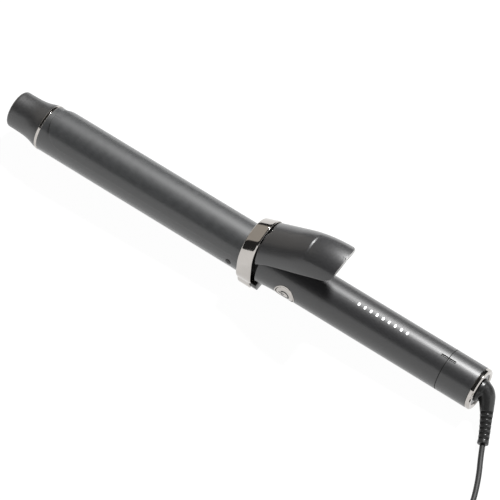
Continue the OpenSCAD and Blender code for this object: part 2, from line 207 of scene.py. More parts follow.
def round_at(a_deg, x, u, v, w):
    """points u along the iron, v across, w outward at angle a round it, as in the part's source"""
    a = math.radians(a_deg)
    u, v, w = np.broadcast_arrays(np.asarray(u, float), np.asarray(v, float), np.asarray(w, float))
    return np.stack([x + u, v * math.cos(a) - w * math.sin(a), v * math.sin(a) + w * math.cos(a)], -1).reshape(-1, 3)


# ---------------------------------------------------------------- materials
def nodes_of(name):
    m = bpy.data.materials.new(name)
    m.use_nodes = True
    t = m.node_tree
    return m, t, t.nodes["Principled BSDF"]


def noise_on(t, scale, detail=2.0, stretch=(1, 1, 1)):
    tc = t.nodes.new("ShaderNodeTexCoord")
    mp = t.nodes.new("ShaderNodeMapping")
    mp.inputs["Scale"].default_value = stretch
    nz = t.nodes.new("ShaderNodeTexNoise")
    nz.inputs["Scale"].default_value = scale
    nz.inputs["Detail"].default_value = detail
    t.links.new(tc.outputs["Object"], mp.inputs["Vector"])
    t.links.new(mp.outputs["Vector"], nz.inputs["Vector"])
    return nz


def ramp_between(t, src, a, b, lo=0.3, hi=0.7):
    r = t.nodes.new("ShaderNodeMapRange")
    r.inputs["From Min"].default_value = lo
    r.inputs["From Max"].default_value = hi
    r.inputs["To Min"].default_value = a
    r.inputs["To Max"].default_value = b
    t.links.new(src, r.inputs["Value"])
    return r.outputs["Result"]


def finish(name, color, rough, metal=0.0, spread=0.06, tint=0.08, scale=900.0, bump=0.0, bump_scale=2600.0, stretch=(1, 1, 1), coat=0.0, coat_rough=0.1, spec=0.5, aniso=0.0, emission=None, strength=0.0, bump_dist=0.00004):
    m, t, b = nodes_of(name)
    nz = noise_on(t, scale, 3.0, stretch)
    mix = t.nodes.new("ShaderNodeMix")
    mix.data_type = "RGBA"
    c = np.array(color, float)
    mix.inputs["A"].default_value = (*np.clip(c * (1 - tint), 0, 1), 1)
    mix.inputs["B"].default_value = (*np.clip(c * (1 + tint), 0, 1), 1)
    t.links.new(ramp_between(t, nz.outputs["Fac"], 0, 1), mix.inputs["Factor"])
    t.links.new(mix.outputs["Result"], b.inputs["Base Color"])
    t.links.new(ramp_between(t, nz.outputs["Fac"], max(0.0, rough - spread), min(1.0, rough + spread)), b.inputs["Roughness"])
    b.inputs["Metallic"].default_value = metal
    b.inputs["Specular IOR Level"].default_value = spec
    b.inputs["Coat Weight"].default_value = coat
    b.inputs["Coat Roughness"].default_value = coat_rough
    b.inputs["Anisotropic"].default_value = aniso
    if bump > 0:
        nb = noise_on(t, bump_scale, 2.0, stretch)
        bm = t.nodes.new("ShaderNodeBump")
        bm.inputs["Strength"].default_value = bump
        bm.inputs["Distance"].default_value = bump_dist
        t.links.new(nb.outputs["Fac"], bm.inputs["Height"])
        t.links.new(bm.outputs["Normal"], b.inputs["Normal"])
    if emission is not None:
        b.inputs["Emission Color"].default_value = (*emission, 1)
        b.inputs["Emission Strength"].default_value = strength
    return m


MATS = {
    "barrel_coating": finish("barrel_coating", (0.018, 0.019, 0.020), 0.50, spread=0.03, tint=0.10, scale=260, bump=0.10, bump_scale=1500, spec=0.8, coat=0.8, coat_rough=0.22),
    "clip_coating": finish("clip_coating", (0.018, 0.019, 0.020), 0.50, spread=0.03, tint=0.10, scale=260, bump=0.10, bump_scale=1500, spec=0.8, coat=0.8, coat_rough=0.22),
    "tip_plastic": finish("tip_plastic", (0.012, 0.012, 0.0125), 0.45, spread=0.04, bump=0.35, bump_scale=2200, spec=1.0, coat=0.4, coat_rough=0.25),
    "handle_plastic": finish("handle_plastic", (0.017, 0.017, 0.018), 0.42, spread=0.04, bump=0.35, bump_scale=2400, spec=0.62, coat=0.7, coat_rough=0.24),
    "gunmetal": finish("gunmetal", (0.50, 0.475, 0.45), 0.10, metal=1.0, spread=0.02, tint=0.02, scale=200),
    "gunmetal_plastic": finish("gunmetal_plastic", (0.50, 0.475, 0.45), 0.08, metal=1.0, spread=0.02, tint=0.02, scale=200),
    "black_gloss": finish("black_gloss", (0.008, 0.008, 0.008), 0.12, spread=0.03),
    "cord_rubber": finish("cord_rubber", (0.012, 0.012, 0.012), 0.58, spread=0.03, bump=0.06, bump_scale=700, spec=0.35),
    "steel": finish("steel", (0.62, 0.62, 0.62), 0.25, metal=1.0, stretch=(1, 1, 6)),
    "spring_steel": finish("spring_steel", (0.55, 0.55, 0.56), 0.22, metal=1.0),
    "black_steel": finish("black_steel", (0.03, 0.03, 0.03), 0.42, metal=0.4),
    "aluminium": finish("aluminium", (0.75, 0.75, 0.77), 0.36, metal=1.0, stretch=(1, 6, 6)),
    "ceramic": finish("ceramic", (0.82, 0.80, 0.76), 0.38, bump=0.2),
    "insulator": finish("insulator", (0.012, 0.012, 0.012), 0.5, bump=0.3, bump_scale=1200),
    "circuit_board": finish("circuit_board", (0.02, 0.16, 0.07), 0.4, tint=0.2, scale=600),
    "dark_module": finish("dark_module", (0.02, 0.02, 0.023), 0.5, bump=0.3),
    "sensor": finish("sensor", (0.5, 0.05, 0.03), 0.25),
    "light_lens": finish("light_lens", (0.9, 0.9, 0.92), 0.3, emission=(1.0, 1.0, 1.0), strength=1.5),
    "light_strip": finish("light_strip", (0.85, 0.85, 0.76), 0.5),
    "inner_plastic": finish("inner_plastic", (0.10, 0.10, 0.11), 0.5, bump=0.2),
    "brass_blade": finish("brass_blade", (0.72, 0.66, 0.50), 0.25, metal=1.0, stretch=(1, 1, 8)),
}
mark_mat = finish("mark_print", (0.012, 0.012, 0.012), 0.4)
boot_mat = finish("boot_rubber", (0.013, 0.013, 0.013), 0.30, spread=0.03, bump=0.06, bump_scale=700, spec=0.5)
# light grey tube material: a painted highlight along the lever's rear edge
edge_highlight_mat = finish("lever_edge_highlight", (0.24, 0.236, 0.232), 0.45, spread=0.03, tint=0.03)
# near-black: the seam line and printed outlines, and painted shade in the boot's rib slots
seam_print_and_slot_shade_mat = finish("seam_print_and_slot_shade", (0.003, 0.003, 0.003), 0.7, spec=0.2)
for part in frame["record"]["subparts"]:
    obj = nodes[part["node"]]
    obj.data.materials.clear()
    obj.data.materials.append(MATS[part["material_slot"]])

# ---------------------------------------------------------------- cord, coil and plug (row frame, mm)
BOOT = [(-1.4, 0, 0), (0.2, 0, 0), (1.6, 0.05, 0), (3.4, 0.4, 0.1), (5.2, 1.5, 0.4), (7, 3.6, 1.2), (8.9, 6.5, 2.6), (10.9, 9.7, 4.2), (12.7, 13, 5.9), (14.6, 16.5, 7.5), (16.4, 20, 8.9), (18.1, 23.5, 10), (19.6, 27, 10.9)]
BOOT_R = [7.9, 7.9, 7.5, 6.6, 5.8, 5.2, 4.7, 4.3, 4.0, 3.8, 3.7, 3.6, 3.7]
rear = row([[extent("end_ring")[0][0], 0, 0]])[0] * 1000
BOOT_P = np.array([[rear[0] - b[0], b[1], rear[2] - b[2]] for b in BOOT])
LEAD = [(-202.7, 27.4, 2.2), (-207, 36, 1.9), (-211.6, 45, 1.8), (-216, 55, 1.8), (-219.4, 64.5, 1.8), (-221.2, 73, 2.2), (-221.4, 81, 3.2), (-219.2, 89, 4.6), (-217.6, 96, 5.3)]
TAIL = [(-252, 127.4, 8.9), (-260, 126.8, 8.8), (-268, 124.4, 8.7), (-275.5, 120, 8.6), (-281.5, 114, 8.5), (-285.8, 106.5, 8.5), (-287.6, 99, 8.5), (-288, 92, 8.5)]
COIL_C = (-244.6, 100.3, 8.9)
COIL_R = 21.0
CORD_D = 3.6
P1 = 3.55
CX = P1 * math.sqrt(3) / 2
PACK = [(2 * CX, -P1), (CX, -1.5 * P1), (0, -2 * P1), (-CX, -1.5 * P1), (-2 * CX, -P1), (-2 * CX, 0), (-2 * CX, P1), (-CX, 1.5 * P1), (0, 2 * P1), (CX, 1.5 * P1), (2 * CX, P1), (CX, 0.5 * P1), (0, P1), (-CX, 0.5 * P1), (-CX, -0.5 * P1), (0, -P1), (CX, -0.5 * P1), (2 * CX, 0)]


def coil_path(step=2.4):
    turns = len(PACK) - 1
    total = turns * 360.0 + 90.0
    n = int(total / 360 * 2 * math.pi * COIL_R / step)
    out = []
    for i in range(n + 1):
        deg = total * i / n
        k, a = int(deg // 360), deg % 360
        k = min(k, turns)
        s = min(1.0, max(0.0, (a - 120.0) / 70.0))
        s = s * s * (3 - 2 * s)
        p, q = np.array(PACK[k]), np.array(PACK[min(k + 1, turns)])
        d = p + (q - p) * s
        r, t = COIL_R + d[0], math.radians(deg)
        out.append((COIL_C[0] + r * math.cos(t), COIL_C[1] + r * math.sin(t), COIL_C[2] + d[1]))
    return out


def tube_along(path, radii, n=14, up=(0, 0, 1), cap=True):
    P = np.array(path, float)
    T = np.zeros_like(P)
    T[1:-1] = P[2:] - P[:-2]
    T[0], T[-1] = P[1] - P[0], P[-1] - P[-2]
    T /= np.linalg.norm(T, axis=1)[:, None]
    co = []
    a = np.cross(T[0], up)
    a /= np.linalg.norm(a)
    R = [radii] * len(P) if np.isscalar(radii) else radii
    for i in range(len(P)):
        a = a - (a @ T[i]) * T[i]
        a /= np.linalg.norm(a)
        b = np.cross(a, T[i])
        for k in range(n):
            t = 2 * math.pi * k / n
            co.append(P[i] + R[i] * (math.cos(t) * a + math.sin(t) * b))
    m = len(P)
    faces = grid_faces(m, n)
    if cap:
        faces += [list(range(n))[::-1], [(m - 1) * n + k for k in range(n)]]
    return np.array(co), outward(co, faces)


def even(path, step):
    P = np.array(path, float)
    t = np.concatenate([[0], np.cumsum(np.linalg.norm(np.diff(P, axis=0), axis=1))])
    n = max(2, int(t[-1] / step))
    s = np.linspace(0, t[-1], n + 1)
    return np.stack([np.interp(s, t, P[:, i]) for i in range(3)], 1)


inside = [tuple(p) for p in BOOT_P[2:]]
coil_pts = coil_path()
lead_part = spline(inside + LEAD[1:] + coil_pts[0:3:2], 8)[:-8]
tail_part = spline([coil_pts[-4], coil_pts[-1]] + TAIL + [(-288, 86, 8.5)], 8)[8:]
cord_path = np.array(even(lead_part, 2.4).tolist()[:-1] + coil_pts[:-1] + even(tail_part, 2.4).tolist())
gap = np.linalg.norm(np.diff(cord_path, axis=0), axis=1)
cord_path = cord_path[np.concatenate([[True], gap > 0.4])]
co, fa = tube_along(cord_path, CORD_D / 2, 18)
s0, s1 = BOOT_P[5] / 1000, np.array(LEAD[5]) / 1000
cord = make("cord", co / 1000, fa, "handle", MATS["cord_rubber"], ("cord_lead", "cord_coil", "cord_tail"), sharp=60, blend=("cord_swivel", "handle", tuple(BOOT_P[-1] / 1000), tuple(s1)))

# plug body: tapered neck and a rounded block, pointing -Y from (-288, 92)
pl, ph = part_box("plug_body")
PXM, PYM, PZM = -288.0, 92.0, 8.5


def rrect(a, b, r, n=10):
    r = max(r, 0.05)
    out = []
    for cx, cy, t0 in ((a - r, b - r, 0), (-(a - r), b - r, 90), (-(a - r), -(b - r), 180), (a - r, -(b - r), 270)):
        for k in range(n + 1):
            t = math.radians(t0 + 90 * k / n)
            out.append((cx + r * math.cos(t), cy + r * math.sin(t)))
    return out


def loft(rings, close_ends=True):
    n = len(rings[0])
    co = [p for r in rings for p in r]
    faces = grid_faces(len(rings), n)
    if close_ends:
        faces += [list(range(n))[::-1], [(len(rings) - 1) * n + k for k in range(n)]]
    return np.array(co, float), outward(co, faces)


rings = []
n_corner = 10
neck = [(0.0, 3.0), (0.25, 3.2), (4, 3.6), (8, 4.1), (11.2, 4.6)]
for d, r in neck:
    ring = rrect(r, r, r, n_corner)
    rings.append([(PXM + x, PYM - d, PZM + z) for x, z in ring])
for d, k in ((12.0, 0.62), (12.3, 0.78), (13.2, 0.93), (14.6, 0.985), (16.5, 1.0), (20, 0.985), (24, 0.972), (28, 0.985), (31.4, 1.0), (33.0, 0.985), (33.8, 0.95), (34.0, 0.9)):
    ring = rrect(10.5 * k, 8.5 * k, 3.4 * k, n_corner)
    rings.append([(PXM + x, PYM - d, PZM + z) for x, z in ring])
co, fa = loft(rings)
plug = make("plug", co / 1000, fa, "handle", MATS["cord_rubber"], ("plug_body",), sharp=50)
# grip ribs on the two broad sides of the plug
rib_co, rib_fa = [], []
for side in (-1, 1):
    for i in range(4):
        d = 19.5 + i * 2.6
        path = [(PXM + side * (10.5 * 0.975 - 0.12), PYM - d, PZM + z) for z in np.linspace(-4.2, 4.2, 7)]
        c, f = tube_along(path, [0.1, 0.45, 0.5, 0.5, 0.5, 0.45, 0.1], 8, up=(0, 1, 0))
        base = sum(len(x) for x in rib_co)
        rib_co.append(c)
        rib_fa += [[base + i2 for i2 in ff] for ff in f]
plug_ribs = make("plug_grip", np.concatenate(rib_co) / 1000, rib_fa, "handle", MATS["cord_rubber"], sharp=60)

# strain relief: smooth sleeve with a ribbed end
bp = np.array(spline(BOOT_P, 14))
arc = np.concatenate([[0], np.cumsum(np.linalg.norm(np.diff(bp, axis=0), axis=1))])
end = arc[-1]
GROOVES = [end - 3.4 - 3.4 * i for i in range(6)]
fine_s = np.linspace(0, end, 260)
fp = np.stack([np.interp(fine_s, arc, bp[:, i]) for i in range(3)], 1)
br_f = np.interp(fine_s, arc[::14], BOOT_R)
for _ in range(6):
    br_f[2:-2] = (br_f[1:-3] + br_f[2:-2] * 2 + br_f[3:-1]) / 4
rad_f = []
for s, r in zip(fine_s, br_f):
    g = sum(math.exp(-((s - g0) / 0.8) ** 4) for g0 in GROOVES)
    r = r - 0.6 * min(1.0, g)
    if s > end - 0.6:
        r -= 0.6 * (1 - math.sqrt(max(0.0, 1 - ((s - end + 0.6) / 0.6) ** 2)))
    rad_f.append(r)
co, fa = tube_along(fp, rad_f, 40)
boot = make("cord_boot", co / 1000, fa, "cord_swivel", boot_mat, ("strain_relief",), sharp=40)
# painted shade: near-black bands sunk in the slots between the boot's ribs
slot_co, slot_fa = [], []
for g0 in GROOVES:
    ss = np.linspace(g0 - 0.75, g0 + 0.75, 5)
    path = np.stack([np.interp(ss, fine_s, fp[:, i]) for i in range(3)], 1)
    c, f = tube_along(path, np.interp(ss, fine_s, br_f) - 0.18, 40)
    base = sum(len(x) for x in slot_co)
    slot_co.append(c)
    slot_fa += [[base + i2 for i2 in ff] for ff in f]
boot_slot_shade = make("boot_slot_shade", np.concatenate(slot_co) / 1000, slot_fa, "cord_swivel", seam_print_and_slot_shade_mat, sharp=60)

# ---------------------------------------------------------------- barrel end: ring and cool tip
BR = 16.0
bf = extent("barrel")[1][0]
tip_end = extent("cool_tip")[1][0]
prof = fillet([(bf, 14.2), (bf, 16.3), (bf + 2, 16.3), (bf + 2, 14.2)], [0, 0.45, 0.45, 0], 6)
co, fa = lathe(prof)
make("tip_band", co, fa, "handle", MATS["gunmetal"], ("tip_ring",))
x = bf + 2
outer = spline([(x, 16.02), (x + 1.5, 15.7), (x + 3.5, 15.05), (x + 6, 14.3), (x + 9, 13.66), (x + 12, 13.3), (x + 15, 13.12), (x + 19, 13.03), (tip_end - 2.2, 13.0)], 6)
bead = [(tip_end - 2.2 + 2.2 * math.sin(math.radians(a)), 10.8 + 2.2 * math.cos(math.radians(a))) for a in range(9, 91, 9)]
hole = [(tip_end, 3.75), (tip_end - 0.35, 3.4), (x + 10.2, 3.4), (x + 10.2, 4.6), (tip_end - 3, 4.6), (tip_end - 3, 11.4), (x + 8, 11.6), (x + 3, 13.6), (x, 13.6)]
co, fa = lathe([tuple(p) for p in outer] + bead + hole, 128)
make("tip_cap", co, fa, "handle", MATS["tip_plastic"], ("cool_tip",))
co, fa = lathe([(tip_end - 1.2, 0.02), (tip_end - 0.4, 0.02), (tip_end - 0.4, 3.1), (tip_end - 0.7, 3.45), (tip_end - 1.2, 3.45)], 48)
make("tip_button", co, fa, "handle", MATS["tip_plastic"])


# ---------------------------------------------------------------- curved sheets with a rounded rim (clip, thumb lever)
def rim_sheet(point, spine, edge, thick, nv=26, bevel=0.35):
    """A grid of (s, f) between spine[i] and edge[i] on both sides, and its column count. point(s, f, d), the surface d
    mm below the outer face, is not used.
    spine and edge are lists of (s, f) of equal length; f is mirrored for the other side."""
    m = len(spine)
    vs = np.linspace(0, 1, nv)
    cols = []
    for side in (-1, 1):
        for v in (vs[::-1] if side < 0 else vs[1:]):
            cols.append((side, v))
    nc = len(cols)
    outer_g, inner_g = [], []
    for i in range(m):
        for side, v in cols:
            s = spine[i][0] + (edge[i][0] - spine[i][0]) * v
            f = spine[i][1] + (edge[i][1] - spine[i][1]) * v
            outer_g.append((s, side * f))
            inner_g.append((s, side * f))
    return outer_g, nc


def sheet_solid(grid, nc, point, thick, bevel):
    """grid of (s, f) rows x nc columns -> outer and inner face points and the border's grid indices"""
    m = len(grid) // nc
    G = np.array(grid, float).reshape(m, nc, 2)
    out3 = np.array([[point(s, f, 0.0) for s, f in r] for r in G])
    in3 = np.array([[point(s, f, thick) for s, f in r] for r in G])
    border = [(0, k) for k in range(nc)] + [(i, nc - 1) for i in range(1, m)] + [(m - 1, k) for k in range(nc - 2, -1, -1)] + [(i, 0) for i in range(m - 2, 0, -1)]
    return out3, in3, border


def shell(name, out3, in3, inset3, body, mat, replaces, bevel=0.35, sharp=50):
    """outer grid, inner grid (same shape) -> closed mesh with a half round rim. inset3 gives for each border vertex the inward direction."""
    m, nc = out3.shape[:2]
    co = list(out3.reshape(-1, 3)) + list(in3.reshape(-1, 3))
    faces = grid_faces(m, nc, False, False) + grid_faces(m, nc, False, False, base=m * nc, flip=True)
    border = [(0, k) for k in range(nc)] + [(i, nc - 1) for i in range(1, m)] + [(m - 1, k) for k in range(nc - 2, -1, -1)] + [(i, 0) for i in range(m - 2, 0, -1)]
    nb = len(border)
    steps = 6
    loops = [[i * nc + k for i, k in border]]
    for q in range(1, steps):
        t = math.pi * q / steps
        base = len(co)
        for j, (i, k) in enumerate(border):
            o, n_ = out3[i, k], in3[i, k]
            mid, half = (o + n_) / 2, (o - n_) / 2
            co.append(mid + half * math.cos(t) + inset3[j] * bevel * math.sin(t))
        loops.append([base + j for j in range(nb)])
    loops.append([m * nc + i * nc + k for i, k in border])
    for a, b in zip(loops[:-1], loops[1:]):
        for j in range(nb):
            j2 = (j + 1) % nb
            faces.append([a[j2], a[j], b[j], b[j2]])
    co = np.array(co)
    return make(name, row(co), outward(co, faces), body, mat, replaces, sharp=sharp)


def border_dirs(out3):
    """outward direction in the sheet's plane at each border vertex"""
    m, nc = out3.shape[:2]
    border = [(0, k) for k in range(nc)] + [(i, nc - 1) for i in range(1, m)] + [(m - 1, k) for k in range(nc - 2, -1, -1)] + [(i, 0) for i in range(m - 2, 0, -1)]
    nb = len(border)
    P = np.array([out3[i, k] for i, k in border])
    T = np.roll(P, -1, axis=0) - np.roll(P, 1, axis=0)
    out = []
    for j, (i, k) in enumerate(border):
        i1 = 1 if i == 0 else (m - 2 if i == m - 1 else i)
        k1 = 1 if k == 0 else (nc - 2 if k == nc - 1 else k)
        inward = out3[i1, k1] - out3[i, k]
        t = T[j] / max(np.linalg.norm(T[j]), 1e-9)
        d = -(inward - (inward @ t) * t)
        ln = np.linalg.norm(d)
        out.append(d / ln if ln > 1e-9 else np.zeros(3))
    return np.array(out)


# clip: the long spoon plate
CLIP_T = 0.9
CLIP_RO = 17.2
cf = extent("clip")[1][0]
half = 66.0
bev = 0.3
x_in, x_out = 3.5, cf - 15.5 - bev
n_end = 22
spine, edge = [], []
for xx in np.linspace(x_in, x_out, 60):
    spine.append((xx, 0.0))
    edge.append((xx, half - 1.0))
for k in range(1, n_end + 1):
    th = 90.0 * k / n_end
    spine.append((x_out + 9.0 * (k / n_end) ** 0.8, 0.0))
    edge.append((x_out + 15.5 * math.sin(math.radians(th)), (half - 1.0) * math.cos(math.radians(th))))


def clip_pt(s, f, d):
    r, a = CLIP_RO - d, math.radians(f)
    return np.array([s, r * math.sin(a), r * math.cos(a)])


def build_sheet(name, spine, edge, point, thick, body, mat, replaces, bevel, nv=24, trim=None):
    vs = np.sin(np.linspace(0, 1, nv) * math.pi / 2)
    m = len(spine)
    cols = [(-1, v) for v in vs[::-1]] + [(1, v) for v in vs[1:]]
    out3, in3 = np.zeros((m, len(cols), 3)), np.zeros((m, len(cols), 3))
    for i in range(m):
        for c, (sd, v) in enumerate(cols):
            s = spine[i][0] + (edge[i][0] - spine[i][0]) * v
            f = sd * (spine[i][1] + (edge[i][1] - spine[i][1]) * v)
            if trim:
                s = trim(s, f)
            out3[i, c], in3[i, c] = point(s, f, 0.0), point(s, f, thick)
    return shell(name, out3, in3, border_dirs(out3), body, mat, replaces, bevel)


build_sheet("clip_plate", spine, edge, clip_pt, CLIP_T, "clip_and_lever", MATS["clip_coating"], ("clip",), bev)

# thumb lever: straight rod section, then a bend of radius BEND_R
SLOPE = math.radians(27.9)
C0, BEND_R, BEND_X, LEV_R, LEV_T = 11.9, 56.0, -30.0, 18.0, 1.7
BEND_Z = C0 - BEND_X * math.tan(SLOPE)
L1 = -BEND_X / math.cos(SLOPE)
LOWER = [(-4.1, 17.6), (-6.6, 19.5), (-10, 21.9), (-13, 23.6), (-17.7, 25.9), (-25, 29.5), (-31.5, 32.5), (-37.6, 35.3), (-43.3, 37.8), (-48.8, 39.9), (-51.3, 40.7), (-53.4, 41.7), (-55.5, 43.0), (-57.2, 44.8), (-57.9, 46.7), (-58.5, 48.5), (-59.2, 51.4), (-59.1, 52.6), (-58.2, 53.6)]
CREASE, CREASE_H = 43.4, 0.6


def lever_pt(s, f, d):
    """s is the length along the centreline from x = 0, f the angle round it"""
    r, a = LEV_R - d, math.radians(f)
    # the rear part is a little lower, with a soft step across the top
    t = min(1.0, max(0.0, (s - CREASE) / 1.6))
    r -= t * t * (3 - 2 * t) * CREASE_H * max(0.0, 1.0 - (abs(f - 5) / 38.0) ** 2) if d == 0.0 else 0.0
    if s <= L1:
        cx, cz, nx, nz = -s * math.cos(SLOPE), C0 + s * math.sin(SLOPE), math.sin(SLOPE), math.cos(SLOPE)
    else:
        b = SLOPE - (s - L1) / BEND_R
        ox, oz = BEND_X - BEND_R * math.sin(SLOPE), BEND_Z - BEND_R * math.cos(SLOPE)
        nx, nz = math.sin(b), math.cos(b)
        cx, cz = ox + BEND_R * nx, oz + BEND_R * nz
    return np.array([cx + r * math.cos(a) * nx, r * math.sin(a), cz + r * math.cos(a) * nz])


def lever_inv(x, z):
    """(s, f) of the outer face's point seen at x, z from the side"""
    tx, tz = -math.cos(SLOPE), math.sin(SLOPE)
    ux, uz = math.sin(SLOPE), math.cos(SLOPE)
    s = x * tx + (z - C0) * tz
    h = x * ux + (z - C0) * uz
    if s > L1:
        ox, oz = BEND_X - BEND_R * math.sin(SLOPE), BEND_Z - BEND_R * math.cos(SLOPE)
        dx, dz = x - ox, z - oz
        b = math.atan2(dx, dz)
        s = L1 + (SLOPE - b) * BEND_R
        h = math.hypot(dx, dz) - BEND_R
    return s, math.degrees(math.acos(max(-1.0, min(1.0, h / LEV_R))))


low = spline(LOWER, 5)
sf = [lever_inv(p[0], p[1]) for p in low]
corner = min(range(len(low)), key=lambda i: abs(low[i][0] + 57.0) + abs(low[i][1] - 45.5))
s_end, f_end = sf[-1]
edge = []
for i, (s, f) in enumerate(sf):
    edge.append((s, f - 0.7))
last = edge[-1]
for k in range(1, 9):
    edge.append((last[0] - 0.02 * k / 8, last[1] * (1 - k / 8)))
m = len(edge)
s_a = -1.2
front_s = (1.2 + 0.0)
spine = []
# the front rim stands in the plane x = -1.2, so its s varies across the arch
for i, (s, f) in enumerate(edge):
    u = i / (m - 1)
    if i <= corner:
        spine.append((max(-7.8, 1.0 * s) if i == 0 else s, 0.0))
    else:
        q = (i - corner) / (m - 1 - corner)
        spine.append((edge[corner][0] + (last[0] - 2.6 - edge[corner][0]) * q, 0.0))
# remap the straight part so that the arch's crown starts at x = -1.2 too
crown_s = lever_inv(-4.1, C0 + LEV_R / math.cos(SLOPE) - (-4.1) * math.tan(SLOPE))[0]
edge0_corner = edge[corner]
s0e, s1e = edge[0][0], edge[corner][0]
spine = [((crown_s + (sp[0] - s0e) * (s1e - crown_s) / (s1e - s0e)), 0.0) if i <= corner else sp for i, sp in enumerate(spine)]
S_LAST = last[0]


def lever_trim(s, f):
    """eases the rear corner on the far side"""
    if f > -22:
        return s
    k = min(1.0, (-f - 22) / 36.0)
    near_end = min(1.0, max(0.0, (s - (S_LAST - 9.0)) / 9.0))
    return s - 1.6 * k * k * near_end


# finer rows across the crease
def denser(lst, lo, hi, n):
    out = []
    for i in range(len(lst) - 1):
        out.append(lst[i])
        if lst[i + 1][0][0] > lo and lst[i][0][0] < hi:
            for k in range(1, n):
                t = k / n
                out.append(tuple((lst[i][j][0] + (lst[i + 1][j][0] - lst[i][j][0]) * t, lst[i][j][1] + (lst[i + 1][j][1] - lst[i][j][1]) * t) for j in (0, 1)))
    out.append(lst[-1])
    return out


both = denser(list(zip(spine, edge)), CREASE - 2.0, CREASE + 3.5, 8)
spine, edge = [b[0] for b in both], [b[1] for b in both]
build_sheet("lever_shell", spine, edge, lever_pt, LEV_T, "clip_and_lever", MATS["handle_plastic"], ("thumb_lever",), 0.6, nv=44, trim=lever_trim)

# painted highlight: a light grey tube along the lever's rear edge, in place of the bright line lamps would leave on it
near_side = [(s, f) for s, f in edge[[i for i, e in enumerate(edge) if e == edge0_corner][0]:]]
far_side = [(lever_trim(s, -f), -f) for s, f in near_side[::-1]][1:]
rim = np.array([lever_pt(s + 0.15, f, 0.45) for s, f in near_side + far_side])
keep = np.concatenate([[True], np.linalg.norm(np.diff(rim, axis=0), axis=1) > 0.05])
rim = even(rim[keep], 0.6)
ends = np.minimum(1.0, np.minimum(np.arange(len(rim)), np.arange(len(rim))[::-1]) / 6.0)
co, fa = tube_along(rim, 0.12 + 0.38 * ends, 12)
make("lever_edge_highlight", row(co), fa, "clip_and_lever", edge_highlight_mat, sharp=60)

# ---------------------------------------------------------------- collar: a polished band that rises under the lever and has a foot below
COL_R, COL_H, COL_W, HOOD_C0, FOOT = 18.8, 18.6, extent("collar")[1][0], 12.6, 12.9


def collar_outline(x, inset=0.0, n=288):
    """radius against angle (0 up) of the collar's outline at station x"""
    a = np.arange(n) * 2 * math.pi / n
    y, z = np.sin(a), np.cos(a)
    hc = HOOD_C0 - x * math.tan(SLOPE)
    A, B = COL_H, COL_H / math.cos(SLOPE)
    best = np.full(n, COL_R)
    # ellipse centred at (0, hc)
    qa = y**2 / A**2 + z**2 / B**2
    qb = -2 * z * hc / B**2
    qc = hc**2 / B**2 - 1
    disc = qb**2 - 4 * qa * qc
    root = (-qb + np.sqrt(np.maximum(disc, 0))) / (2 * qa)
    zz = root * z
    best = np.where((disc > 0) & (zz >= hc), np.maximum(best, root), best)
    # straight sides between the two
    with np.errstate(divide="ignore", invalid="ignore"):
        rs = np.where(np.abs(y) > 1e-6, A / np.abs(y), 1e9)
    best = np.where((rs * z > 0) & (rs * z < hc), np.maximum(best, rs), best)
    # foot
    poly = [(-FOOT, -20), (FOOT, -20), (15.2, -15), (16.5, -8), (16.5, 0), (-16.5, 0), (-16.5, -8), (-15.2, -15)]
    for i in range(len(poly)):
        p, q = np.array(poly[i]), np.array(poly[(i + 1) % len(poly)])
        e = q - p
        den = y * e[1] - z * e[0]
        with np.errstate(divide="ignore", invalid="ignore"):
            t = (p[0] * e[1] - p[1] * e[0]) / den
            w = np.where(np.abs(e[0]) > np.abs(e[1]), (t * y - p[0]) / (e[0] if abs(e[0]) > 0 else 1), (t * z - p[1]) / (e[1] if abs(e[1]) > 0 else 1))
        ok = (t > 0) & (w >= -1e-6) & (w <= 1 + 1e-6) & (z < 0.05)
        best = np.where(ok, np.maximum(best, t), best)
    # ease the concave joints, then cut by the resting plane
    for _ in range(5):
        best = 0.25 * np.roll(best, 1) + 0.5 * best + 0.25 * np.roll(best, -1)
    P = np.stack([best * y, best * z], 1)
    zf = -(ORG[2] * 1000 + x * AX.z) / AZ.z
    P[:, 1] = np.maximum(P[:, 1], zf)
    if inset:
        T = np.roll(P, -1, axis=0) - np.roll(P, 1, axis=0)
        T /= np.maximum(np.linalg.norm(T, axis=1), 1e-9)[:, None]
        N = np.stack([-T[:, 1], T[:, 0]], 1)
        s = np.sign((N * P).sum(1).mean())
        P = P - s * N * inset
    return P


def inner_outline(x, n=288):
    P = collar_outline(x, 0.0, n)
    r = np.linalg.norm(P, axis=1)
    k = np.where(P[:, 1] > -9.5, 1.0 - 1.0 / r, 16.04 / r)
    lim = np.where(P[:, 1] > -9.5, 0.0, 1.0)
    return P * k[:, None]


bv, RV, LIP = 0.55, 0.9, 1.6


def collar_station(u, inset=0.0, inner=False):
    """the outline at u mm in front of the rear edge; above the foot pad the edge reaches back by the lip"""
    k = (COL_W - u) / COL_W
    lip_x, foot_x = u - LIP * k, u
    P = [inner_outline(v) if inner else collar_outline(v, inset) for v in (lip_x, foot_x)]
    w = np.clip((P[1][:, 1] + 9.3) / 0.6, 0.0, 1.0)[:, None]
    Q = P[0] * w + P[1] * (1 - w)
    xs = lip_x * w + foot_x * (1 - w)
    return [(float(x[0]), *q) for x, q in zip(xs, Q)]


# from the rear face's inner rim, over the outside, to the front face's inner rim and back inside
seq = [collar_station(0.0, inner=True)]
for q in range(9):
    t = math.pi / 2 * q / 8
    seq.append(collar_station(RV * (1 - math.cos(t)), RV * (1 - math.sin(t))))
seq += [collar_station(u) for u in np.linspace(RV, COL_W - bv, 9)[1:-1]]
for q in range(7):
    t = math.pi / 2 * q / 6
    seq.append(collar_station(COL_W - bv * (1 - math.sin(t)), bv * (1 - math.cos(t))))
seq.append(collar_station(COL_W, inner=True))
n = len(seq[0])
co = np.array([p for r in seq for p in r], float)
fa = grid_faces(len(seq), n, True, True)
make("collar_band", row(co), outward(co, fa), "handle", MATS["gunmetal_plastic"], ("collar",), sharp=40)

# foot pad behind the collar
rings = []
pad = [(12.3, -18.8), (14.3, -14.6), (14.9, -10.5)]


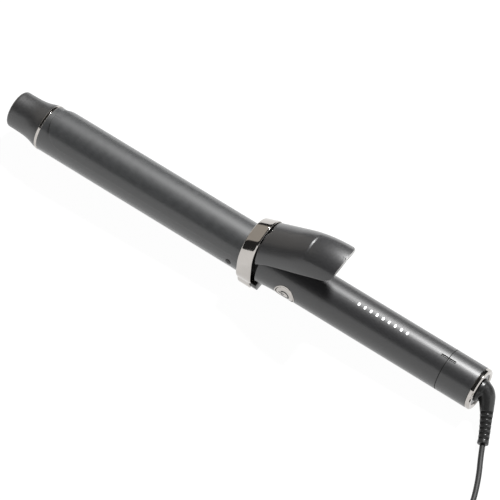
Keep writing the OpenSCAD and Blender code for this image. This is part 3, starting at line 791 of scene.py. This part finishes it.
def pad_outline(x, ins):
    hw = [(-12.3 + ins, -25.0), (12.3 - ins, -25.0), (14.3 - ins, -14.6), (14.9 - ins, -10.5 - ins), (-14.9 + ins, -10.5 - ins), (-14.3 + ins, -14.6)]
    zf = -(ORG[2] * 1000 + x * AX.z) / AZ.z + 0.35 + ins
    P = fillet([(y, max(z, zf)) for y, z in hw], [0.8, 0.8, 3, 0.3, 0.3, 3], 5)
    return P


for xx, ins in ((-4.6, 0.5), (-4.45, 0.15), (-4.1, 0.0), (-2.4, 0.0), (-0.7, 0.0), (-0.35, 0.12), (-0.25, 0.4)):
    rings.append([(xx, *p) for p in pad_outline(xx, ins)])
co, fa = loft(rings)
make("foot_block", row(co), fa, "handle", MATS["black_gloss"], ("foot_pad",), sharp=40)

# ---------------------------------------------------------------- rear ring, button
ex = extent("end_ring")[0][0]
ew = extent("end_ring")[1][0] - ex
prof = fillet([(ex + 0.5, 11.6), (ex, 11.9), (ex, 13.7), (ex + 0.8, 14.5), (ex + ew, 14.5), (ex + ew, 11.2), (ex + 0.6, 11.2)], [0, 0.2, 0.5, 0.6, 0.3, 0, 0], 6)
co, fa = lathe(prof, 144)
make("end_band", co, fa, "handle", MATS["gunmetal_plastic"], ("end_ring",))

HR = 14.5
BX, BA, BRD = -26.0, -98.0, 6.6
SEAM = extent("handle_shell")[0][0]
co, fa = lathe([(SEAM - 0.32, 14.2), (SEAM - 0.32, HR + 0.012), (SEAM + 0.17, HR + 0.012), (SEAM + 0.17, 14.2)], 160)
make("seam_line", co, fa, "handle", seam_print_and_slot_shade_mat, sharp=30)


def outline_mark(name, x0, x1, body, closed_at):
    """a printed outline of a bar along the axis, open at the seam"""
    lw, hw = 0.48, 0.86
    co, faces = [], []
    bars = [(x0, x1, hw - lw, hw), (x0, x1, -hw, -hw + lw), (closed_at - lw / 2, closed_at + lw / 2, -hw, hw)]
    for a, b, v0, v1 in bars:
        base = len(co)
        for w_ in (0.02, -0.25):
            for uu, vv in ((a, v0), (b, v0), (b, v1), (a, v1)):
                co.extend(round_at(-4.0, 0.0, uu, vv, math.sqrt(HR * HR - vv * vv) + w_))
        faces += [[base + i for i in f] for f in outward(np.array(co[base:]), [[0, 1, 2, 3], [7, 6, 5, 4], [0, 4, 5, 1], [1, 5, 6, 2], [2, 6, 7, 3], [3, 7, 4, 0]])]
    make(name, row(np.array(co)), faces, body, seam_print_and_slot_shade_mat, sharp=30, smooth=False)


outline_mark("mark_handle", SEAM + 0.05, SEAM + 5.2, "handle", SEAM + 5.2)
outline_mark("mark_dial", SEAM - 5.4, SEAM - 0.25, "heat_dial", SEAM - 5.4)


def cap_height(v, r=HR + 0.1):
    return np.sqrt(np.maximum(r * r - np.asarray(v) ** 2, 0.0))


def button_mesh():
    rad = [0.0, 0.9, 1.8, 2.7, 3.6, 4.5, 5.2, 5.7, 6.0]
    n = 64
    co, faces = [], []
    th = np.arange(n) * 2 * math.pi / n
    rings_ = []
    for r in rad[1:]:
        u, v = r * np.cos(th), r * np.sin(th)
        rings_.append(round_at(BA, BX, u, v, cap_height(v)))
    for q in range(1, 7):
        t = math.pi / 2 * q / 6
        r = 6.0 + 0.6 * math.sin(t)
        u, v = r * np.cos(th), r * np.sin(th)
        rings_.append(round_at(BA, BX, u, v, cap_height(v) - 0.6 * (1 - math.cos(t))))
    u, v = 6.6 * np.cos(th), 6.6 * np.sin(th)
    rings_.append(round_at(BA, BX, u, v, np.full(n, 9.7)))
    co = [round_at(BA, BX, [0], [0], cap_height([0.0]))[0]] + [p for r in rings_ for p in r]
    faces = [[0, 1 + k, 1 + (k + 1) % n] for k in range(n)]
    faces += grid_faces(len(rings_), n, True, False, base=1)
    co.append(round_at(BA, BX, [0], [0], [9.7])[0])
    base = 1 + (len(rings_) - 1) * n
    faces += [[len(co) - 1, base + (k + 1) % n, base + k] for k in range(n)]
    return np.array(co), faces


co, fa = button_mesh()
fa = outward(co, fa)
make("button_cap", row(co), fa, "power_button", MATS["gunmetal_plastic"], ("power_button",), sharp=60)
# power sign: a broken ring and a bar, printed on the button
co, faces = [], []


def strip(us, vs, w, lift=0.03):
    c = np.stack([us, vs], 1)
    t = np.gradient(c, axis=0)
    t /= np.linalg.norm(t, axis=1)[:, None]
    nrm = np.stack([-t[:, 1], t[:, 0]], 1)
    base = len(co)
    for lf in (lift, -0.05):
        for sd in (-1, 1):
            q = c + nrm * w / 2 * sd
            co.extend(round_at(BA, BX, q[:, 0], q[:, 1], cap_height(q[:, 1]) + lf))
    m_ = len(c)
    for i in range(m_ - 1):
        a, b, c2, d = base + i, base + m_ + i, base + 2 * m_ + i, base + 3 * m_ + i
        faces.append([a, a + 1, b + 1, b])
        faces.append([c2, d, d + 1, c2 + 1])
        faces.append([a, c2, c2 + 1, a + 1])
        faces.append([b, b + 1, d + 1, d])
    for i in (0, m_ - 1):
        a, b, c2, d = base + i, base + m_ + i, base + 2 * m_ + i, base + 3 * m_ + i
        faces.append([a, b, d, c2] if i == 0 else [a, c2, d, b])


ang = np.radians(np.linspace(32, 328, 40))
strip(3.1 * np.cos(ang), 3.1 * np.sin(ang), 1.2)
strip(np.linspace(0.3, 4.5, 6), np.zeros(6), 1.2)
make("button_sign", row(np.array(co)), faces, "power_button", mark_mat, sharp=30)

# ---------------------------------------------------------------- floor, light
floor_mesh = bpy.data.meshes.new("floor")
floor_mesh.from_pydata([(-4, -4, 0), (4, -4, 0), (4, 4, 0), (-4, 4, 0)], [], [(0, 1, 2, 3)])
floor = bpy.data.objects.new("floor", floor_mesh)
scene.collection.objects.link(floor)
fm, ft, fb = nodes_of("floor")
fb.inputs["Base Color"].default_value = (0.06, 0.06, 0.06, 1)
fb.inputs["Roughness"].default_value = 0.9
fb.inputs["Specular IOR Level"].default_value = 0.0
fb.inputs["Emission Color"].default_value = (1, 1, 1, 1)
fb.inputs["Emission Strength"].default_value = 0.97
floor_mesh.materials.append(fm)

world = bpy.data.worlds.new("world")
scene.world = world
world.use_nodes = True
world.node_tree.nodes["Background"].inputs["Color"].default_value = (1, 1, 1, 1)
world.node_tree.nodes["Background"].inputs["Strength"].default_value = 0.03

TO_CAM = (BACK - AX * BACK.dot(AX)).normalized()
SIDE = (AZ - TO_CAM * AZ.dot(TO_CAM)).normalized()


def light(name, psi, dist, along, size_x, size_y, power, color=(1, 1, 1), aim=(0, 0, 0.02)):
    """an area light at angle psi round the iron's axis from the viewer, towards the lever when positive"""
    d = TO_CAM * math.cos(math.radians(psi)) + SIDE * math.sin(math.radians(psi))
    data = bpy.data.lights.new(name, "AREA")
    data.shape = "RECTANGLE"
    data.size, data.size_y = size_x, size_y
    data.energy = power
    data.color = color
    o = bpy.data.objects.new(name, data)
    scene.collection.objects.link(o)
    pos = Vector(aim) + d * dist + AX * along
    back = (pos - Vector(aim)).normalized()
    xax = (AX - back * AX.dot(back)).normalized()
    yax = back.cross(xax)
    o.matrix_world = Matrix(((xax.x, yax.x, back.x, pos.x), (xax.y, yax.y, back.y, pos.y), (xax.z, yax.z, back.z, pos.z), (0, 0, 0, 1)))
    return o


light("key", 63, 2.0, -0.18, 0.26, 0.26, 96)
light("near", -43, 1.6, 0.0, 3.0, 0.98, 10.2)
# the panel beyond the tip stands towards the far side
END_PSI = math.degrees(math.atan2((AY * -0.45 + AZ * 0.8).dot(SIDE), (AY * -0.45 + AZ * 0.8).dot(TO_CAM)))
light("end", END_PSI, 0.92, 2.0, 1.8, 2.4, 6.5, (1.0, 0.93, 0.84))
light("rear", 80, 0.3, -1.6, 2.2, 2.2, 18.0)

scene.view_settings.view_transform = "Standard"
scene.view_settings.look = "None"
scene.view_settings.exposure = 0.0
scene.view_settings.gamma = 1.0
